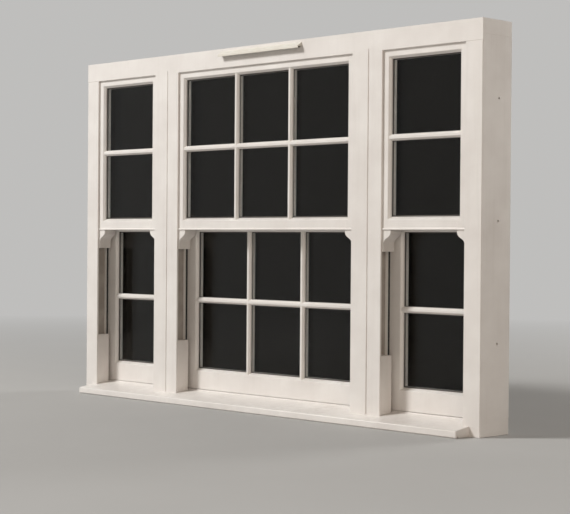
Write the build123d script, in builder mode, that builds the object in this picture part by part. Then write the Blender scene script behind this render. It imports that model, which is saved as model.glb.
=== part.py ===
"""Three-light timber sliding sash window with its frame and sill, millimetres.

X runs along the window to the right as seen from outside, Y runs from outside into the room and
Z runs up. The outer faces of the linings lie in the plane Y = 0, the sill's underside lies in the
plane Z = 0, and X = 0 is the middle of the centre light.
"""

import os
from math import radians, tan

from build123d import *

# The frame seen from outside
centre_light = 921.0  # clear width between the linings of the middle light
side_light = 361.0  # clear width between the linings of each outer light
lining_wide = 74.5  # mullion board to the left of each joint line
lining_narrow = 61.5  # mullion board to the right of each joint line
lining_joint = 3.0  # open joint between the two boards of a mullion
jamb_lining = 70.0  # full width of the outer boards, mostly covered by the wall
lining_depth = 7.0  # thickness of every outer board
lining_arris = 2.0  # rounding of the boards' long edges
head_edge = 1282.0  # height of the head lining's lower edge
head_lining = 72.0  # height of the head lining
board_rise = 10.5  # how far the mullion boards are let into the head lining
frame_margin = 1.3  # posts, head and sill behind the staff beads
jamb_overlap = 36.0  # how far the boards reach past the posts beside the sashes
head_overlap = 21.5  # how far the head lining hangs below the head

# The sill
sill_height = 34.0  # height of the sloping top at the face of the linings
sill_projection = 69.0  # nose in front of the linings
sill_slope = 8.0  # degrees
sill_horn_gap = 43.0  # how far the nose stops short of each end
sill_step_at = 72.0  # depth of the small rise between the two sash tracks
sill_step = 3.5  # height of that rise
sill_flat = 20.0  # level strip on the room side
nose_radius = 5.0
drip_width = 6.0
drip_depth = 5.0
drip_inset = 9.0  # distance of the drip groove from the nose

# The sashes
sash_thickness = 56.0
face_gap = 1.0  # between the outer boards and the outer sashes
track_gap = 13.0  # between the two tracks
side_gap = 3.0  # between a sash and its post
head_gap = 3.0  # between an outer sash and the head
foot_gap = 1.5  # between an inner sash and the sill
stile_width = 69.5
top_rail = 48.0
meeting_level = 717.0  # height of both meeting rails' tops
outer_meeting_rail = 46.0
inner_meeting_rail = 53.0
bottom_rail = 81.0
meeting_gap = 1.0  # between the two meeting rails
meeting_lean = 6.0  # how far the joint between them leans outwards over the outer rail's height
bead_depth = 16.0  # outer face of a sash to its glass
moulding = 8.0  # chamfer round the outside of the glass
bead_step = 5.5  # extra glass that shows at each side on the outside
weathering = 11.0  # height of the sloping bottom bead
room_moulding = 5.0  # chamfer round the room side of the glass
horn_length = 75.0
horn_shoulder = 6.0  # straight top part of a horn
horn_foot = 25.0  # straight bottom part of a horn
horn_step = 32.0  # how far a horn narrows
rail_drip = 6.6  # height of the drip strip under an outer sash
rail_drip_front = 4.4  # height of its front edge
rail_drip_projection = 4.0
rail_drip_gap = 2.0  # between the drip strip and the linings

# Glass and glazing bars
unit_thickness = 20.0
pane_thickness = 4.0
glass_cover = 12.0  # how far the glass reaches into the timber
glass_gap = 1.0
bar_width = 21.5
bar_height = 14.0
bar_chamfer = 6.5
middle_pane = 263.0  # clear width between the two upright bars of the middle light
centre_columns = 3
side_columns = 1
rows = 2

# Beads, stop blocks and balances
parting_projection = 13.0
bead_gap = 0.7  # running gap between a bead and a sash
staff_projection = 18.0
staff_width = 18.0
block_height = 205.5  # above the sill at the face of the linings
block_inset = 3.0  # blocks behind the edge of the linings
tube_diameter = 15.0
tube_wall = 1.0
tube_length = 560.0
tube_gap = 0.5  # between a tube and its post
groove_gap = 1.5  # round a tube in its groove
tube_overlap = 123.0  # how far a tube reaches down beside a closed inner sash
canopy_length = 425.0
canopy_projection = 20.0
canopy_rise = 40.5  # hood above the lower edge of the head lining
canopy_height = 22.0
canopy_lip = 8.0
canopy_wall = 2.0

# Fixing holes through the outer posts
fixing_radius = 4.5
fixing_spacing = 400.0
fixing_count = 3
fixing_level = 700.0
fixing_depth = 88.0

# Locks and lifts
lock_offset = 274.0  # locks of the middle light from its centre
base_length = 56.0
base_width = 24.0
base_height = 3.0
pin_radius = 3.0
pin_gap = 0.05
pivot_inset = 17.0  # pivot behind the outer face of an inner sash
lever_gap = 0.3
hub_radius = 9.0
hub_height = 11.0
cam_reach = 36.0
cam_width = 16.0
cam_height = 4.0
arm_length = 42.0
arm_width = 10.0
arm_height = 5.0
keeper_length = 40.0
keeper_plate = 2.5
keeper_wall = 3.0
keeper_slot = 6.0
keeper_depth = 16.0
keeper_inset = 1.0  # keeper in front of the room face of an outer sash
lift_width = 42.0
lift_height = 32.0
lift_plate = 3.0
lift_reach = 24.0
lift_hook = 14.0
lift_level = 25.0  # lift above the bottom of an inner sash
lift_offset = 230.0  # lifts of the middle light from its centre

# How far a cutting shape passes the piece that it cuts
cut_margin = 1.0

# Worked out from the sizes above
mullion_face = lining_wide + lining_joint + lining_narrow
centre_half = centre_light / 2
side_mid = centre_half + mullion_face + side_light / 2
outer_edge = centre_half + mullion_face + side_light
half_width = outer_edge + jamb_lining
frame_top = head_edge + head_lining
head_bottom = head_edge + head_overlap
outer_face = lining_depth + face_gap
inner_face = outer_face + sash_thickness + track_gap
frame_depth = inner_face + sash_thickness + bead_gap + staff_width + frame_margin
rise = tan(radians(sill_slope))

os.makedirs("parts", exist_ok=True)


def save(part, name):
    """Label one finished piece, or a group of like pieces, and write it."""
    part.label = name
    export_step(part, f"parts/{name}.step")


def span(low, high, mode=Mode.ADD):
    """Add the box between two opposite corners to the piece being made."""
    middle = tuple((a + b) / 2 for a, b in zip(low, high))
    size = [b - a for a, b in zip(low, high)]
    with Locations(middle):
        Box(*size, mode=mode)


def group(*parts):
    """Keep the solids of several touching pieces apart in one node."""
    return Compound([solid for part in parts for solid in part.solids()])


def sill_top(depth):
    """Height of the sill's sloping top in front of its step."""
    return sill_height + depth * rise


def sash_foot(depth):
    """Height of the slope under an inner sash, parallel to the sill behind its step."""
    return sill_top(depth) + sill_step + foot_gap


# Frame


def make_sill():
    """Sloping sill with a nose between the reveals, a step between the tracks and a drip."""
    nose_half = half_width - sill_horn_gap
    level_at = frame_depth - sill_flat
    level = sill_top(level_at) + sill_step
    with BuildPart() as sill:
        with BuildSketch(Plane.YZ.offset(-half_width)):
            Polygon(
                (-sill_projection, 0),
                (frame_depth, 0),
                (frame_depth, level),
                (level_at, level),
                (sill_step_at, sill_top(sill_step_at) + sill_step),
                (sill_step_at, sill_top(sill_step_at)),
                (-sill_projection, sill_top(-sill_projection)),
                align=None,
            )
        extrude(amount=2 * half_width)
        fillet(sill.edges().group_by(Axis.Y)[0].filter_by(Axis.X), nose_radius)
        for side in (-1, 1):
            low, high = sorted((side * nose_half, side * (half_width + cut_margin)))
            span(
                (low, -sill_projection - cut_margin, -cut_margin),
                (high, 0, sill_height + cut_margin),
                mode=Mode.SUBTRACT,
            )
        groove = drip_inset - sill_projection
        span(
            (-half_width, groove, -cut_margin),
            (half_width, groove + drip_width, drip_depth),
            mode=Mode.SUBTRACT,
        )
    return sill.part


def make_post(x_low, x_high, sill, holes=False):
    """Upright between the sashes or beside the wall, scribed over the sill."""
    with BuildPart() as post:
        span((x_low, lining_depth, 0), (x_high, frame_depth, head_bottom))
        add(sill, mode=Mode.SUBTRACT)
        if holes:
            with Locations(Plane.YZ.offset(x_low)):
                with Locations((fixing_depth, fixing_level)):
                    with GridLocations(0, fixing_spacing, 1, fixing_count):
                        Cylinder(
                            fixing_radius,
                            x_high - x_low,
                            align=(Align.CENTER, Align.CENTER, Align.MIN),
                            mode=Mode.SUBTRACT,
                        )
    return post.part


def make_head():
    """Head over the posts, behind its lining."""
    with BuildPart() as head:
        span((-half_width, lining_depth, head_bottom), (half_width, frame_depth, frame_top))
    return head.part


def make_head_lining():
    """Outer board of the head, with a rounded lower edge and a notch over each mullion."""
    with BuildPart() as board:
        span((-half_width, 0, head_edge), (half_width, lining_depth, frame_top))
        low_edge = board.edges().filter_by(Axis.X).group_by(Axis.Z)[0].sort_by(Axis.Y)[0]
        fillet(low_edge, lining_arris)
        for low in (-centre_half - mullion_face, centre_half):
            span(
                (low, -cut_margin, head_edge - cut_margin),
                (low + mullion_face, lining_depth + cut_margin, head_edge + board_rise),
                mode=Mode.SUBTRACT,
            )
    return board.part


def make_lining(x_low, x_high, sill, tongue=0):
    """Outer board of a jamb or one half of a mullion, its roundings stopped at the head lining."""
    with BuildPart() as board:
        span((x_low, 0, 0), (x_high, lining_depth, head_edge))
        fillet(board.edges().filter_by(Axis.Z).group_by(Axis.Y)[0], lining_arris)
        if tongue:
            span((x_low, 0, head_edge), (x_high, lining_depth, head_edge + tongue))
        add(sill, mode=Mode.SUBTRACT)
    return board.part


def make_side_beads(face, inward, sill):
    """Parting bead and staff bead on one side of a light, from the post's face inwards."""
    part_low = outer_face + sash_thickness + bead_gap
    part_high = inner_face - bead_gap
    staff_low = inner_face + sash_thickness + bead_gap
    with BuildPart() as beads:
        near, far = sorted((face, face + inward * parting_projection))
        span((near, part_low, 0), (far, part_high, head_bottom))
        near, far = sorted((face, face + inward * staff_projection))
        span((near, staff_low, 0), (far, staff_low + staff_width, head_bottom))
        add(sill, mode=Mode.SUBTRACT)
    return beads.part


def make_head_beads(lights):
    """Parting bead and staff bead under the head of every light."""
    part_low = outer_face + sash_thickness + bead_gap
    part_high = inner_face - bead_gap
    staff_low = inner_face + sash_thickness + bead_gap
    with BuildPart() as beads:
        for middle, post_half in lights:
            reach = post_half - parting_projection
            span(
                (middle - reach, part_low, head_bottom - parting_projection),
                (middle + reach, part_high, head_bottom),
            )
            reach = post_half - staff_projection
            span(
                (middle - reach, staff_low, head_bottom - staff_projection),
                (middle + reach, staff_low + staff_width, head_bottom),
            )
    return beads.part


def make_stop_blocks(lights, sill):
    """Blocks in the outer track that stop the horns of the outer sashes."""
    with BuildPart() as blocks:
        for middle, post_half in lights:
            inner = post_half - jamb_overlap + block_inset
            for side in (-1, 1):
                near, far = sorted((middle + side * inner, middle + side * post_half))
                span(
                    (near, outer_face, 0),
                    (far, outer_face + sash_thickness, sill_height + block_height),
                )
        add(sill, mode=Mode.SUBTRACT)
    return blocks.part


def make_balance_tubes(lights):
    """Spring balance tubes fixed to the posts, one for each stile of each sash."""
    with BuildPart() as tubes:
        for middle, post_half in lights:
            for side in (-1, 1):
                x = middle + side * (post_half - tube_gap - tube_diameter / 2)
                for face, foot in (
                    (outer_face, head_bottom - tube_length),
                    (inner_face, meeting_level - tube_overlap),
                ):
                    with Locations((x, face + sash_thickness / 2, foot)):
                        for radius, mode in (
                            (tube_diameter / 2, Mode.ADD),
                            (tube_diameter / 2 - tube_wall, Mode.SUBTRACT),
                        ):
                            Cylinder(
                                radius,
                                tube_length,
                                align=(Align.CENTER, Align.CENTER, Align.MIN),
                                mode=mode,
                            )
    return tubes.part


def make_canopy():
    """Hood over the ventilation slot, with a sloping top and a plain front lip."""
    bottom = head_edge + canopy_rise
    lip_top = bottom + canopy_lip
    lip_back = canopy_wall - canopy_projection
    with BuildPart() as canopy:
        with BuildSketch(Plane.YZ.offset(-canopy_length / 2)):
            Polygon(
                (-canopy_projection, bottom),
                (lip_back, bottom),
                (lip_back, lip_top - canopy_wall),
                (0, lip_top),
                (0, bottom + canopy_height),
                (-canopy_projection, lip_top),
                align=None,
            )
        extrude(amount=canopy_length)
    return canopy.part


# Sashes


def make_recess(middle, half, z_low, z_high, y_face, y_glass, side, foot, foot_depth):
    """Open volume between one face of a sash and its glass, wider at the face by the moulding."""
    inward = 1 if y_glass > y_face else -1
    y_side = y_face + inward * side
    y_foot = y_face + inward * foot_depth
    rim = [(y_face, z_low - foot)]
    if foot:
        rim.append((y_foot, z_low))
    if y_foot != y_glass:
        rim.append((y_glass, z_low))
    with BuildPart() as recess:
        with BuildSketch(Plane.XY.offset(z_low - foot - cut_margin)):
            with BuildLine():
                Polyline(
                    (middle - half - side, y_face),
                    (middle + half + side, y_face),
                    (middle + half, y_side),
                    (middle + half, y_glass),
                    (middle - half, y_glass),
                    (middle - half, y_side),
                    close=True,
                )
            make_face()
        extrude(amount=z_high - z_low + foot + side + 2 * cut_margin)
        with BuildSketch(Plane.YZ.offset(middle - half - side - cut_margin)):
            with BuildLine():
                Polyline(
                    *rim,
                    (y_glass, z_high),
                    (y_side, z_high),
                    (y_face, z_high + side),
                    close=True,
                )
            make_face()
        extrude(amount=2 * (half + side + cut_margin), mode=Mode.INTERSECT)
    return recess.part


def make_glass_room(middle, half, z_low, z_high, y_out, y_in):
    """Groove round the glass, with the sight opening."""
    grow = glass_cover + glass_gap
    x_low = middle - half - grow
    x_high = middle + half + grow
    with BuildPart() as room:
        span((x_low, y_out, z_low - grow), (x_high, y_in, z_high + grow))
    return room.part


def make_stiles(middle, half, reach, y_face, outer, cuts):
    """The two uprights of one sash, with horns below the meeting rail of an outer sash."""
    y_back = y_face + sash_thickness
    groove = tube_gap + tube_diameter + groove_gap - side_gap
    groove_half = tube_diameter / 2 + groove_gap
    rail_foot = meeting_level - outer_meeting_rail
    horn_end = rail_foot - horn_length
    top = head_bottom - head_gap if outer else meeting_level
    with BuildPart() as stiles:
        for side in (-1, 1):
            near = middle + side * half
            far = middle + side * reach
            if outer:
                narrow = near + side * horn_step
                with BuildSketch(Plane.XZ.offset(-y_back)):
                    with BuildLine():
                        Polyline(
                            (near, rail_foot - horn_shoulder),
                            (near, top),
                            (far, top),
                            (far, horn_end),
                            (narrow, horn_end),
                            (narrow, horn_end + horn_foot),
                        )
                        Spline(
                            (narrow, horn_end + horn_foot),
                            (near, rail_foot - horn_shoulder),
                            tangents=((0, 1), (0, 1)),
                        )
                    make_face()
                extrude(amount=sash_thickness)
            else:
                with BuildSketch(Plane.YZ.offset(min(near, far))):
                    Polygon(
                        (y_face, sash_foot(y_face)),
                        (y_back, sash_foot(y_back)),
                        (y_back, top),
                        (y_face, top),
                        align=None,
                    )
                extrude(amount=stile_width)
            low_x, high_x = sorted((far - side * groove, far + side * cut_margin))
            y_mid = y_face + sash_thickness / 2
            span(
                (low_x, y_mid - groove_half, 0),
                (high_x, y_mid + groove_half, frame_top),
                mode=Mode.SUBTRACT,
            )
        for cut in cuts:
            add(cut, mode=Mode.SUBTRACT)
    return stiles.part


def joint_depth(height):
    """Depth of the leaning joint between the two meeting rails at a height."""
    middle = outer_face + sash_thickness + track_gap / 2
    lean = (height - meeting_level + outer_meeting_rail / 2) / outer_meeting_rail
    return middle - meeting_lean * lean


def make_outer_rails(middle, half, strip_half, drip_half, z_high, cuts):
    """Top rail and meeting rail of an outer sash, the latter with its drip strip."""
    y_back = outer_face + sash_thickness
    foot = meeting_level - outer_meeting_rail
    with BuildPart() as top:
        span((middle - half, outer_face, z_high), (middle + half, y_back, head_bottom - head_gap))
        for cut in cuts:
            add(cut, mode=Mode.SUBTRACT)
    with BuildPart() as meeting:
        span((middle - half, outer_face, foot), (middle + half, y_back, meeting_level))
        with BuildSketch(Plane.YZ.offset(middle - strip_half)):
            Polygon(
                (y_back, foot),
                (joint_depth(foot) - meeting_gap / 2, foot),
                (joint_depth(meeting_level) - meeting_gap / 2, meeting_level),
                (y_back, meeting_level),
                align=None,
            )
        extrude(amount=2 * strip_half)
        for cut in cuts:
            add(cut, mode=Mode.SUBTRACT)
        with BuildSketch(Plane.YZ.offset(middle - drip_half)):
            Polygon(
                (outer_face, foot),
                (outer_face, foot + rail_drip),
                (outer_face - rail_drip_projection, foot + rail_drip_front),
                (outer_face - rail_drip_projection, foot),
                align=None,
            )
        extrude(amount=2 * drip_half)
    return group(top.part, meeting.part)


def make_inner_rails(middle, half, strip_half, z_low, z_high, cuts):
    """Meeting rail and bottom rail of an inner sash, the latter bevelled over the sill."""
    y_back = inner_face + sash_thickness
    with BuildPart() as meeting:
        span((middle - half, inner_face, z_high), (middle + half, y_back, meeting_level))
        with BuildSketch(Plane.YZ.offset(middle - strip_half)):
            Polygon(
                (inner_face, z_high),
                (inner_face, meeting_level),
                (joint_depth(meeting_level) + meeting_gap / 2, meeting_level),
                (joint_depth(z_high) + meeting_gap / 2, z_high),
                align=None,
            )
        extrude(amount=2 * strip_half)
        for cut in cuts:
            add(cut, mode=Mode.SUBTRACT)
    with BuildPart() as bottom:
        with BuildSketch(Plane.YZ.offset(middle - half)):
            Polygon(
                (inner_face, sash_foot(inner_face)),
                (y_back, sash_foot(y_back)),
                (y_back, z_low),
                (inner_face, z_low),
                align=None,
            )
        extrude(amount=2 * half)
        for cut in cuts:
            add(cut, mode=Mode.SUBTRACT)
    return group(meeting.part, bottom.part)


def make_glass(middle, half, z_low, z_high, y_out, y_in):
    """The two panes of one sealed unit."""
    x_low = middle - half - glass_cover
    x_high = middle + half + glass_cover
    bottom = z_low - glass_cover
    top = z_high + glass_cover
    with BuildPart() as panes:
        span((x_low, y_out, bottom), (x_high, y_out + pane_thickness, top))
        span((x_low, y_in - pane_thickness, bottom), (x_high, y_in, top))
    return panes.part


def bar_profile(middle, y_glass, outward):
    """Outline of a glazing bar across its length: square sides on the glass and a chamfered nose."""
    wide = bar_width / 2
    nose = wide - bar_chamfer
    shoulder = y_glass + outward * (bar_height - bar_chamfer)
    tip = y_glass + outward * bar_height
    return [
        (middle - wide, y_glass),
        (middle + wide, y_glass),
        (middle + wide, shoulder),
        (middle + nose, tip),
        (middle - nose, tip),
        (middle - wide, shoulder),
    ]


def make_bars(middle, half, z_low, z_high, y_glass, outward, recess, columns):
    """Glazing bars on one side of the glass: uprights, and crossbars scribed between them."""
    pitch = middle_pane + bar_width
    row_pitch = (z_high - z_low + bar_width) / rows
    with BuildPart() as uprights:
        for i in range(1, columns):
            with BuildSketch(Plane.XY.offset(z_low - weathering)):
                x = middle + (i - columns / 2) * pitch
                Polygon(*bar_profile(x, y_glass, outward), align=None)
            extrude(amount=z_high - z_low + weathering + moulding)
        if columns > 1:
            add(recess, mode=Mode.INTERSECT)
    with BuildPart() as crossbars:
        for i in range(1, rows):
            with BuildSketch(Plane.YZ.offset(middle - half - moulding)):
                z = z_low - bar_width / 2 + i * row_pitch
                outline = [(depth, height) for height, depth in bar_profile(z, y_glass, outward)]
                Polygon(*outline, align=None)
            extrude(amount=2 * (half + moulding))
        add(recess, mode=Mode.INTERSECT)
        if columns > 1:
            add(uprights.part, mode=Mode.SUBTRACT)
    return [uprights.part, crossbars.part] if columns > 1 else [crossbars.part]


def make_sash(name, middle, light_half, outer, columns):
    """Stiles, rails, glass and glazing bars of one sash."""
    post_half = light_half + jamb_overlap
    reach = post_half - side_gap
    half = reach - stile_width
    y_face = outer_face if outer else inner_face
    y_out = y_face + bead_depth
    y_in = y_out + unit_thickness
    y_back = y_face + sash_thickness
    if outer:
        z_low = meeting_level
        z_high = head_bottom - head_gap - top_rail
        room_foot = 0
    else:
        z_low = sash_foot(inner_face) + bottom_rail
        z_high = meeting_level - inner_meeting_rail
        room_foot = room_moulding
    sight = (middle, half, z_low, z_high)
    outside = (middle, half + bead_step, z_low, z_high)
    front = make_recess(*outside, y_face, y_out, moulding, weathering, bead_depth)
    room = make_recess(*sight, y_back, y_in, room_moulding, room_foot, room_foot)
    cuts = (front, room, make_glass_room(*sight, y_out, y_in))
    strip_half = post_half - parting_projection - side_gap
    if outer:
        drip_half = light_half - rail_drip_gap
        rails = make_outer_rails(middle, half, strip_half, drip_half, z_high, cuts)
    else:
        rails = make_inner_rails(middle, half, strip_half, z_low, z_high, cuts)
    outside_bars = make_bars(*outside, y_out, -1, front, columns)
    room_bars = make_bars(*sight, y_in, 1, room, columns)
    save(make_stiles(middle, half, reach, y_face, outer, cuts), f"{name}_stiles")
    save(rails, f"{name}_rails")
    save(make_glass(*sight, y_out, y_in), f"{name}_glass")
    save(group(*outside_bars, *room_bars), f"{name}_bars")


# Locks and lifts


def make_lock_bases(places):
    """Plates with an upright pin on top of an inner meeting rail."""
    pivot = inner_face + pivot_inset
    with BuildPart() as bases:
        for x in places:
            span(
                (x - base_length / 2, pivot - base_width / 2, meeting_level),
                (x + base_length / 2, pivot + base_width / 2, meeting_level + base_height),
            )
            with Locations((x, pivot, meeting_level + base_height)):
                Cylinder(
                    pin_radius,
                    lever_gap + hub_height,
                    align=(Align.CENTER, Align.CENTER, Align.MIN),
                )
    return bases.part


def make_lever(x):
    """Unlocked lever: the cam along +X, the handle the other way, turning on the pin."""
    pivot = inner_face + pivot_inset
    low = meeting_level + base_height + lever_gap
    with BuildPart() as lever:
        with BuildSketch(Plane.XY.offset(low)):
            with Locations((x, pivot)):
                Circle(hub_radius)
        extrude(amount=hub_height)
        with BuildSketch(Plane.XY.offset(low)):
            with Locations((x + cam_reach / 2, pivot)):
                Rectangle(cam_reach, cam_width)
        extrude(amount=cam_height)
        with BuildSketch(Plane.XY.offset(low + hub_height - arm_height)):
            with Locations((x - (arm_length - arm_width / 2) / 2, pivot)):
                SlotOverall(arm_length + arm_width / 2, arm_width)
        extrude(amount=arm_height)
        with BuildSketch(Plane.XY.offset(low)):
            with Locations((x, pivot)):
                Circle(pin_radius + pin_gap)
        extrude(amount=hub_height, mode=Mode.SUBTRACT)
    return lever.part


def make_keepers(places):
    """Hooked plates behind the glass on top of an outer meeting rail."""
    room_side = outer_face + sash_thickness - keeper_inset
    far_side = room_side - keeper_depth
    slot_low = meeting_level + keeper_plate
    slot_high = slot_low + keeper_slot
    with BuildPart() as keepers:
        for x in places:
            with BuildSketch(Plane.YZ.offset(x - keeper_length / 2)):
                Polygon(
                    (far_side, meeting_level),
                    (room_side, meeting_level),
                    (room_side, slot_low),
                    (far_side + keeper_wall, slot_low),
                    (far_side + keeper_wall, slot_high),
                    (room_side, slot_high),
                    (room_side, slot_high + keeper_plate),
                    (far_side, slot_high + keeper_plate),
                    align=None,
                )
            extrude(amount=keeper_length)
    return keepers.part


def make_lifts(places):
    """Hooks on the room face of an inner bottom rail."""
    back = inner_face + sash_thickness
    low = sash_foot(back) + lift_level
    with BuildPart() as lifts:
        for x in places:
            with BuildSketch(Plane.YZ.offset(x - lift_width / 2)):
                Polygon(
                    (back, low),
                    (back + lift_reach, low),
                    (back + lift_reach, low + lift_hook),
                    (back + lift_reach - lift_plate, low + lift_hook),
                    (back + lift_reach - lift_plate, low + lift_plate),
                    (back + lift_plate, low + lift_plate),
                    (back + lift_plate, low + lift_height),
                    (back, low + lift_height),
                    align=None,
                )
            extrude(amount=lift_width)
    return lifts.part


# The whole window

sill = make_sill()
save(sill, "sill")
save(make_head(), "head")
save(make_head_lining(), "head_lining")
save(make_canopy(), "vent_canopy")

centre_locks = (-lock_offset, lock_offset)
centre_lifts = (-lift_offset, lift_offset)
lights = {
    "left": (-side_mid, side_light / 2, side_columns, (-side_mid,), (-side_mid,)),
    "centre": (0.0, centre_half, centre_columns, centre_locks, centre_lifts),
    "right": (side_mid, side_light / 2, side_columns, (side_mid,), (side_mid,)),
}
posts = [(middle, half + jamb_overlap) for middle, half, _, _, _ in lights.values()]
save(make_head_beads(posts), "head_beads")
save(make_stop_blocks(posts, sill), "stop_blocks")
save(make_balance_tubes(posts), "balance_tubes")

post_edge = outer_edge + jamb_overlap
save(make_post(-half_width, -post_edge, sill, holes=True), "jamb_left")
save(make_post(post_edge, half_width, sill, holes=True), "jamb_right")
save(make_lining(-half_width, -outer_edge, sill), "jamb_lining_left")
save(make_lining(outer_edge, half_width, sill), "jamb_lining_right")
save(make_side_beads(-post_edge, 1, sill), "jamb_beads_left")
save(make_side_beads(post_edge, -1, sill), "jamb_beads_right")

for side, low in (("left", -centre_half - mullion_face), ("right", centre_half)):
    high = low + mullion_face
    post_low = low + jamb_overlap
    post_high = high - jamb_overlap
    joint = low + lining_wide
    save(make_post(post_low, post_high, sill), f"mullion_{side}")
    wide = make_lining(low, joint, sill, board_rise)
    narrow = make_lining(joint + lining_joint, high, sill, board_rise)
    save(group(wide, narrow), f"mullion_linings_{side}")
    beads = (make_side_beads(post_low, -1, sill), make_side_beads(post_high, 1, sill))
    save(group(*beads), f"mullion_beads_{side}")

for side, (middle, half, columns, locks, lifts) in lights.items():
    make_sash(f"outer_{side}", middle, half, True, columns)
    make_sash(f"inner_{side}", middle, half, False, columns)
    save(make_lock_bases(locks), f"lock_base_{side}")
    save(make_keepers(locks), f"keeper_{side}")
    save(make_lifts(lifts), f"sash_lift_{side}")
    for i, x in enumerate(locks):
        place = f"{side}_{i + 1}" if len(locks) > 1 else side
        save(make_lever(x), f"lock_lever_{place}")
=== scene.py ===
# %% [markdown]
# # A sliding sash window in three lights
# The real object is a painted timber window: a frame with a sloping sill, and six sliding sashes
# with sealed glass. Its solids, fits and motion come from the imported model, which stays as it is.
# This lesson adds what a solid model leaves out: paint, glass, spacers between the panes, seals,
# brush strips, screws and light. Everything is in metres: X to the right seen from outside, Y into
# the room and Z up.

import bmesh
import bpy
import numpy as np
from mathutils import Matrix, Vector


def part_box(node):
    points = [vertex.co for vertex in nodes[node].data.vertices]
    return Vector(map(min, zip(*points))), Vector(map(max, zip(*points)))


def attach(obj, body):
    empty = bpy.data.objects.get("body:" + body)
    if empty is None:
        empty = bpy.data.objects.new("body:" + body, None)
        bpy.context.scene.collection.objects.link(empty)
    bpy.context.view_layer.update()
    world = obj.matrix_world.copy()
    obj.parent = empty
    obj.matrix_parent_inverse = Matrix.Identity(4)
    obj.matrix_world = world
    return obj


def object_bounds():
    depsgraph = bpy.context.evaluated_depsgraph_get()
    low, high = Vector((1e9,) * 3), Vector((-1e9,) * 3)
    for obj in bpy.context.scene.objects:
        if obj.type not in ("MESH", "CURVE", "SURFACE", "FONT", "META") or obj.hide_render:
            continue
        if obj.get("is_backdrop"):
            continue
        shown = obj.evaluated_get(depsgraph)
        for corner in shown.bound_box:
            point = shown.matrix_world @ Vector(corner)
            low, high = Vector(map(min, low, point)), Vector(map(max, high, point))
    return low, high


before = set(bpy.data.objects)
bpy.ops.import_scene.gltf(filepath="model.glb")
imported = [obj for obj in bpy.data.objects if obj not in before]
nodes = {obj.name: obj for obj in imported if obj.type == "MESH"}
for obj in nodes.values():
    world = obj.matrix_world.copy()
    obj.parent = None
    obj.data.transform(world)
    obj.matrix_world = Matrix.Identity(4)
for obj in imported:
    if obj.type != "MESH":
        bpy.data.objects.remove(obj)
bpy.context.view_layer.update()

# %% [markdown]
# ## The camera
# The photograph was taken from the right, a little below the middle of the window, with a long
# lens. Place and turn were worked out beforehand from the edges of the boards, so they are plain
# numbers here. The camera's axes are written straight into its matrix, because turn angles in a
# fixed order would hide the small roll.

# %% Camera
picture_width = 570
focal_pixels = 1551.76
camera_place = (4.125, -3.9637, 0.6283)
yaw, pitch, roll = np.radians((45.18, -0.57, 0.43))
ahead = np.array([-np.sin(yaw) * np.cos(pitch), np.cos(yaw) * np.cos(pitch), np.sin(pitch)])
level_right = np.array([np.cos(yaw), np.sin(yaw), 0.0])
level_up = np.cross(level_right, ahead)
camera_right = level_right * np.cos(roll) + level_up * np.sin(roll)
camera_up = level_up * np.cos(roll) - level_right * np.sin(roll)
turned = np.eye(4)
turned[:3, :3] = np.stack([camera_right, camera_up, -ahead], axis=1)
turned[:3, 3] = camera_place

camera = bpy.data.objects.new("camera", bpy.data.cameras.new("camera"))
bpy.context.scene.collection.objects.link(camera)
camera.data.sensor_width = 36.0
camera.data.lens = focal_pixels / picture_width * camera.data.sensor_width
camera.matrix_world = turned.T.tolist()
bpy.context.scene.camera = camera
print("lens:", round(camera.data.lens, 1), "mm")

# %% [markdown]
# ## Meshes from arrays
# Every new piece is a surface worked out as a whole: a profile carried along a path, or a height
# over a disc. A small helper turns such points into a mesh and makes it ride on the body that
# carries the real piece. Closed meshes get their faces turned outwards once, here.

# %% Mesh helpers
def grid_faces(rows, columns, close_rows=False, close_columns=False):
    """Quads between neighbours of a grid; a closed direction joins its last line to its first."""
    i, j = np.meshgrid(
        np.arange(rows if close_rows else rows - 1),
        np.arange(columns if close_columns else columns - 1),
        indexing="ij",
    )
    i_next, j_next = (i + 1) % rows, (j + 1) % columns
    quads = [i * columns + j, i_next * columns + j, i_next * columns + j_next, i * columns + j_next]
    return np.stack(quads, axis=-1).reshape(-1, 4).tolist()


def carried(profile, path, across, upward, closed=False):
    """Point(i, j) = path(i) + a(j) * across(i) + b(j) * upward(i), for the profile's (a, b)."""
    path, across, upward = (np.asarray(v, float) for v in (path, across, upward))
    across = np.broadcast_to(across, path.shape)[:, None, :]
    upward = np.broadcast_to(upward, path.shape)[:, None, :]
    profile = np.asarray(profile, float)
    points = path[:, None, :] + profile[None, :, :1] * across + profile[None, :, 1:] * upward
    rows, columns = points.shape[:2]
    faces = grid_faces(rows, columns, closed, True)
    if not closed:
        last = (rows - 1) * columns
        faces += [list(range(columns)), [last + j for j in reversed(range(columns))]]
    return points.reshape(-1, 3), faces


def joined(parts):
    """One list of points and faces from several, with the face numbers moved along."""
    counts = np.cumsum([0] + [len(points) for points, _ in parts])
    points = np.concatenate([points for points, _ in parts])
    faces = [[k + shift for k in face] for (_, own), shift in zip(parts, counts) for face in own]
    return points, faces


def new_piece(name, shape, material, body, smooth=True):
    """Mesh object from (points, faces), with faces outwards, riding on one body."""
    points, faces = shape
    mesh = bpy.data.meshes.new(name)
    mesh.from_pydata(points.tolist(), [], faces)
    work = bmesh.new()
    work.from_mesh(mesh)
    bmesh.ops.recalc_face_normals(work, faces=work.faces)
    work.to_mesh(mesh)
    work.free()
    mesh.shade_smooth() if smooth else mesh.shade_flat()
    piece = bpy.data.objects.new(name, mesh)
    bpy.context.scene.collection.objects.link(piece)
    mesh.materials.append(material)
    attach(piece, body)
    return piece


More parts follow.
